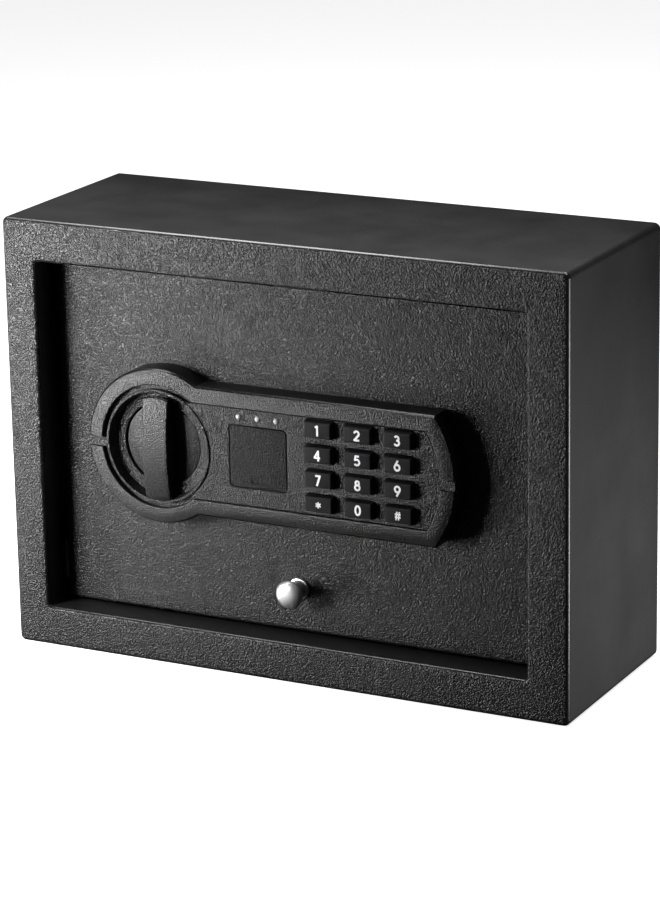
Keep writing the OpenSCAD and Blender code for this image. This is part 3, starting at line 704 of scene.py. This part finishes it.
def fascia():
    """The island in the rim: a front sheet and a backing with windows for the keys, the lenses and
    the lock cover, and a lathed collar and well round the knob."""
    def sheet(outer, d0, d1, cover, edges=(0, 0, 0, 0)):
        """edges are the front edge radii of the outline, key windows, lens holes and cover."""
        depths = [straight(d0, d1, edge) for edge in edges]
        holes = [(circle(KNOB_X, PANEL_Z, COLLAR_R - 0.6, 96), straight(d0, d1))]
        holes += [(rounded(*key_centre(label), KEY_W + 0.6, KEY_H + 0.6, 0.9, 4, hole=True),
                   depths[1]) for label in KEY_NAMES]
        holes += [(circle(x, z, LENS_R + 0.05, 32), depths[2]) for x, z in LENSES]
        holes.append((cover, depths[3]))
        s.plate([(outer, depths[0])] + [(reverse(outline), p) for outline, p in holes])

    def cover_hole(wider, corner):
        w = COVER_W + wider
        return rounded(COVER_X, COVER_Z, w, w, corner, 6, hole=True)

    s = Solid()
    tongues = TONGUE_HALF, KNOB_X - RIM_OUTSIDE[0] + 0.4, END_X + RIM_OUTSIDE[2] - 0.4
    sheet(keyhole(*FASCIA_EDGE, tabs=tongues), FASCIA, FASCIA_REAR, cover_hole(0.9, 2.25),
          (0.25, 0.2, 0.12, 0.22))
    sheet(keyhole(*BACKING_EDGE), BACKING, BACKING_REAR, cover_hole(-3.4, 1.0))
    c, well_r = COLLAR_R, 22.4
    s.lathe(KNOB_X, PANEL_Z, [(r, RIM + d) for r, d in (
        (c - 1.05, 0), (c - 0.45, 0), (c - 0.15, 0.12), (c, 0.45), (c, 4.2), (well_r, 8.4),
        (well_r, 11.5), (5.0, 11.5), (5.0, 10.0), (20.6, 10.0), (20.8, 9.8), (20.8, 5.7),
        (20.95, 5.4), (21.3, 5.2), (c - 3.4, 5.0), (c - 2.9, 4.8), (c - 2.6, 4.3), (c - 1.5, 0.7),
        (c - 1.4, 0.4), (c - 1.3, 0.12), (c - 1.05, 0))], sides=160)
    piece("panel_fascia", s, "door", "fascia_plastic", ("control_fascia",))


def knob():
    """The turn knob: a disc and a crowned grip bar in one moulding."""
    disc, boss = RIM + 6.4, RIM + 9.7
    disc_r, boss_r = 20.2, 8.0
    s = Solid()
    s.lathe(KNOB_X, PANEL_Z, [
        (0, disc), (19.7, disc), (20.05, disc + 0.12), (disc_r, disc + 0.45), (disc_r, disc + 1.6),
        (19.9, disc + 2.0), (boss_r, disc + 2.0), (boss_r, boss), (0, boss)], sides=128)
    half_w, tip, edge, rows = 7.1, 26.15, 0.9, 40
    root = 19.6     # beyond this height the grip's back tapers forward
    grip_x, grip_z = KNOB_X - 0.3, PANEL_Z - 1.15
    rings = []
    for i in range(rows + 1):
        h = -math.cos(math.pi * i / rows)
        height = tip * h
        end = max(0.0, 1 - (1 - abs(h)) / 0.035)
        front = RIM - 2.7 + 2.6 * h * h + edge * (1 - math.sqrt(max(0.0, 1 - end * end)))
        back = disc + 0.4
        if abs(height) > root:
            back = min(back, disc - 0.2 - (abs(height) - root) / (tip - root) * 5.8)
        corner = [(inset - half_w, d) for inset, d in soft_edge(front, edge, 5)]
        face = [(edge - half_w + 2 * (half_w - edge) * k / 8, front) for k in range(1, 8)]
        line = (corner[::-1] + face + [(-x, d) for x, d in corner]
                + [(half_w, back), (-half_w, back)])
        rings.append([at(grip_x + x, d, grip_z + height * math.sqrt(1 - (x / tip) ** 2))
                      for x, d in line])
    s.skin(rings)
    piece("turn_knob_grip", s, "knob", "knob_plastic", ("turn_knob",), sharp=36)


def keys():
    """A cap with a rounded face, on a wider foot behind the fascia."""
    for label in KEY_NAMES:
        node = "key_" + label
        cx, cz = key_centre(label)
        d0, d1 = span(node)[1]
        cap = [(0.4 + inset, d) for inset, d in soft_edge(d0, 0.75, 5)]
        s = Solid()
        s.plate([(rounded(cx, cz, KEY_W, KEY_H, 0.8, 5),
                  cap + [(0.0, FASCIA), (0.0, d1 - 0.5)])])
        s.plate([(rounded(cx, cz, KEY_W + 2.0, KEY_H + 1.8, 0.8, 5),
                  [(0, d1 - 0.8), (0, d1)])])
        piece("keycap_" + label, s, node, "key_rubber", (node,), sharp=40)
        figure(label, cx, cz, d0, node)


# ---- legends -------------------------------------------------------------------------

def stroke(points, w):
    """A line of constant width as polygons, with a disc at each bend."""
    shapes = []
    for (x0, y0), (x1, y1) in zip(points, points[1:]):
        length = math.hypot(x1 - x0, y1 - y0)
        nx, ny = -(y1 - y0) / length * w / 2, (x1 - x0) / length * w / 2
        shapes.append([(x0 + nx, y0 + ny), (x0 - nx, y0 - ny),
                       (x1 - nx, y1 - ny), (x1 + nx, y1 + ny)])
    for x, y in points[1:-1]:
        shapes.append([(x + w / 2 * math.cos(a), y + w / 2 * math.sin(a))
                       for a in [2 * math.pi * i / 12 for i in range(12)]])
    return shapes


def arc(cx, cy, rx, ry, a0, a1, n):
    """n + 1 points along an ellipse, with the angles in degrees."""
    return [(cx + rx * math.cos(math.radians(a0 + (a1 - a0) * i / n)),
             cy + ry * math.sin(math.radians(a0 + (a1 - a0) * i / n))) for i in range(n + 1)]


def figure_strokes(label, h, w):
    """Centre lines of a figure h high in lines w wide, drawn round the origin. The centres of
    the lines along its top and bottom are at t and -t."""
    t = h / 2 - w / 2
    lines = {
        "1": [[(-0.16 * h, t - 0.12 * h), (0.04 * h, t), (0.04 * h, -h / 2)]],
        "2": [arc(0, t - 0.23 * h, 0.22 * h, 0.23 * h, 170, -38, 14)
              + [(-0.22 * h, -t), (0.27 * h, -t)]],
        "3": [arc(-0.01 * h, t - 0.2 * h, 0.19 * h, 0.2 * h, 150, -90, 14),
              arc(-0.01 * h, -t + 0.235 * h, 0.235 * h, 0.235 * h, 90, -150, 16)],
        "4": [[(0.09 * h, -h / 2), (0.09 * h, t), (-0.26 * h, -0.2 * h), (0.27 * h, -0.2 * h)]],
        "5": [[(0.2 * h, t), (-0.13 * h, t), (-0.19 * h, 0.06 * h)]
              + arc(-0.02 * h, -t + 0.26 * h, 0.25 * h, 0.26 * h, 115, -145, 16)],
        "6": [arc(0, -t + 0.26 * h, 0.24 * h, 0.26 * h, 0, 360, 28),
              [(-0.2 * h, -t + 0.4 * h), (0.08 * h, t + w / 2)]],
        "7": [[(-0.24 * h, t), (0.22 * h, t), (-0.09 * h, -h / 2)]],
        "8": [arc(0, t - 0.19 * h, 0.17 * h, 0.19 * h, 0, 360, 24),
              arc(0, -t + 0.235 * h, 0.225 * h, 0.235 * h, 0, 360, 28)],
        "9": [arc(0, t - 0.26 * h, 0.24 * h, 0.26 * h, 0, 360, 28),
              [(0.2 * h, t - 0.4 * h), (-0.08 * h, -t - w / 2)]],
        "0": [arc(0, 0, 0.23 * h, t, 0, 360, 32)],
        "star": [[(-0.28 * h * math.cos(a), -0.28 * h * math.sin(a)),
                  (0.28 * h * math.cos(a), 0.28 * h * math.sin(a))]
                 for a in (math.pi / 2, math.pi / 6, -math.pi / 6)],
        "hash": [[(-0.17 * h, -0.38 * h), (-0.07 * h, 0.38 * h)],
                 [(0.07 * h, -0.38 * h), (0.17 * h, 0.38 * h)],
                 [(-0.28 * h, 0.13 * h), (0.28 * h, 0.13 * h)],
                 [(-0.28 * h, -0.13 * h), (0.28 * h, -0.13 * h)]],
    }
    return lines[label]


def figure(label, cx, cz, face, body):
    """A printed figure on a key: the union of its strokes, a little proud of the face."""
    w = SYMBOL_LINE if label in ("star", "hash") else FIGURE_LINE
    points, faces = [], []
    for line in figure_strokes(label, FIGURE_H, w):
        for polygon in stroke(line, w):
            faces.append(list(range(len(points), len(points) + len(polygon))))
            points += [Vector(p) for p in polygon]
    flat, _, tris, _, _, owners = delaunay_2d_cdt(points, [], faces, 1, 1e-5)
    made = bmesh.new()
    front = [made.verts.new(at(cx + p.x, face - FIGURE_PROUD, cz + p.y)) for p in flat]
    for tri, owner in zip(tris, owners):
        if owner:
            made.faces.new([front[i] for i in tri])
    loose = [v for v in made.verts if not v.link_faces]
    bmesh.ops.delete(made, geom=loose, context="VERTS")
    grown = bmesh.ops.extrude_face_region(made, geom=list(made.faces), use_keep_orig=True)
    for v in grown["geom"]:
        if isinstance(v, bmesh.types.BMVert):
            v.co.y += FIGURE_T * MM
    bmesh.ops.recalc_face_normals(made, faces=made.faces)
    mesh = bpy.data.meshes.new("figure_" + label)
    made.to_mesh(mesh)
    made.free()
    obj = bpy.data.objects.new("figure_" + label, mesh)
    bpy.context.scene.collection.objects.link(obj)
    mesh.materials.append(LEGEND)
    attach(obj, body)


# ---- small front parts ---------------------------------------------------------------

def override_cover():
    """The square cover over the lock, with a finger notch in its face and two clips behind."""
    s = Solid()
    rear, notch = FASCIA + 1.7, FASCIA + 0.45
    plate = rounded(COVER_X, COVER_Z, COVER_W, COVER_W, 1.8, 6)
    finger = rounded(COVER_X, COVER_Z - 11.3, 8.2, 2.4, 1.1, 4, hole=True)
    s.plate([(plate, straight(FASCIA, notch, 0.25)),
             (reverse(finger), straight(FASCIA, notch, 0.2))])
    s.plate([(plate, straight(notch + 0.02, rear, 0, 0.1))])
    for sign in (-1, 1):
        z = COVER_Z + sign * 12.4
        s.block((COVER_X - 4, COVER_X + 4), (rear - 0.2, COVER[1][1]), (z - 0.6, z + 0.6), 0.2)
    piece("lock_cover", s, "override_cover", "fascia_plastic", ("override_cover",),
          material=COVER_PLASTIC)


def lenses():
    """Three domes on short stems."""
    s = Solid()
    dome, steps = 1.1, 8
    d0, d1 = span("indicator_lenses")[1]
    profile = [(0, d1), (LENS_R, d1), (LENS_R, d0 + dome)]
    for i in range(1, steps):
        a = math.pi / 2 * i / steps
        profile.append((LENS_R * math.cos(a), d0 + dome - dome * math.sin(a)))
    profile.append((0, d0))
    for x, z in LENSES:
        s.lathe(x, z, profile, sides=40)
    piece("indicator_domes", s, "door", "lens_clear", ("indicator_lenses",))


# ---- carried-over nodes --------------------------------------------------------------

def carried():
    """CAD nodes that keep their shape get their slot's material and slightly rounded edges."""
    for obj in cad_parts.values():
        if obj.hide_render:
            continue
        for holder in obj.material_slots:
            holder.material = MATS[holder.material.name.split(".")[0]]
        weld = obj.modifiers.new("weld", "WELD")
        weld.merge_threshold = 1e-6
        bevel = obj.modifiers.new("edges", "BEVEL")
        bevel.width = CARRIED_EDGE * MM
        bevel.segments = 2
        bevel.limit_method = "ANGLE"
        bevel.angle_limit = math.radians(50)


# ---- floor, light and camera ---------------------------------------------------------

def stage_piece(name, mesh, material):
    """Scenery: seen by the camera, and left out of the light and shade on the object."""
    made = bpy.data.objects.new(name, mesh)
    bpy.context.scene.collection.objects.link(made)
    mesh.materials.append(material)
    made.visible_diffuse = made.visible_glossy = made.visible_transmission = False
    made.visible_shadow = False


def studio():
    """Pale floor and backdrop, small key lights near the front's left, large ones overhead, and
    weak ones that the right side and the folded edges reflect."""
    size = 6.0
    floor = bpy.data.meshes.new("floor")
    floor.from_pydata([(-size, -size, 0), (size, -size, 0), (size, size, 0), (-size, size, 0)],
                      [], [(0, 1, 2, 3)])
    paper = Paint("studio_floor", Roughness=0.9, Base_Color=(0.9, 0.9, 0.9, 1),
                  Emission_Color=(1, 1, 1, 1), Emission_Strength=0.82)
    stage_piece("floor", floor, paper.mat)
    work = bmesh.new()
    bmesh.ops.create_icosphere(work, subdivisions=4, radius=2 * size)
    dome = bpy.data.meshes.new("backdrop")
    work.to_mesh(dome)
    work.free()
    white = Paint("studio_backdrop", Base_Color=(0, 0, 0, 1), Emission_Color=(1, 1, 1, 1),
                  Emission_Strength=1.0)
    stage_piece("backdrop", dome, white.mat)

    def softbox(name, place, aim, size, power, spread=180):
        """An area light, unseen by the camera, with its spread in degrees."""
        light = bpy.data.lights.new(name, "AREA")
        light.shape, light.size, light.size_y, light.energy = "RECTANGLE", size[0], size[1], power
        light.spread = math.radians(spread)
        lamp = bpy.data.objects.new(name, light)
        lamp.visible_camera = False
        bpy.context.scene.collection.objects.link(lamp)
        lamp.location = place
        lamp.rotation_euler = (Vector(aim) - Vector(place)).to_track_quat("-Z", "Y").to_euler()

    softbox("key", (-0.33, -0.34, 0.14), (-0.1, -0.055, 0.13), (0.16, 0.2), 1.8)
    softbox("key_spot", (-0.42, -0.44, 0.2), (-0.23, -0.055, 0.20), (0.18, 0.18), 1.0, 58)
    softbox("overhead", (0.2, 0.2, 1.1), (0.0, 0.02, 0.22), (1.0, 0.35), 8.5)
    softbox("overhead_left", (-0.46, 0.04, 1.1), (0.0, 0.0, 0.2), (0.5, 0.4), 11.0)
    softbox("side", (0.7, 1.4, -0.42), (0.15, 0.05, 0.1), (0.4, 0.4), 0.6)
    softbox("side_edge", (0.8, 0.12, -0.06), (0.15, -0.05, 0.1), (0.2, 0.34), 3.6)
    softbox("far_left", (-0.8, -0.42, -0.12), (0.05, -0.05, 0.1), (0.16, 0.25), 3.0)
    softbox("fill", (-0.5, -2.3, 0.1), (0.0, 0.0, 0.1), (1.5, 1.0), 0.6)

    world = bpy.data.worlds.new("studio")
    bpy.context.scene.world = world
    world.use_nodes = True
    world.node_tree.nodes["Background"].inputs["Strength"].default_value = 0.17
    bpy.context.scene.view_settings.view_transform = "Standard"


def camera():
    """The photo's camera, solved from the cabinet's visible corners."""
    lens = bpy.data.cameras.new("camera")
    lens.sensor_width = 36.0
    lens.lens = 142.495
    lens.clip_start, lens.clip_end = 0.05, 50.0
    eye = bpy.data.objects.new("camera", lens)
    bpy.context.scene.collection.objects.link(eye)
    eye.location = (0.76680, -1.48584, 0.59732)
    eye.rotation_euler = [math.radians(a) for a in (73.5134, 1.0054, 27.0211)]
    bpy.context.scene.camera = eye


camera()
cabinet()
back_and_mat()
door()
pull_knob()
housing()
fascia()
knob()
keys()
override_cover()
lenses()
carried()
studio()
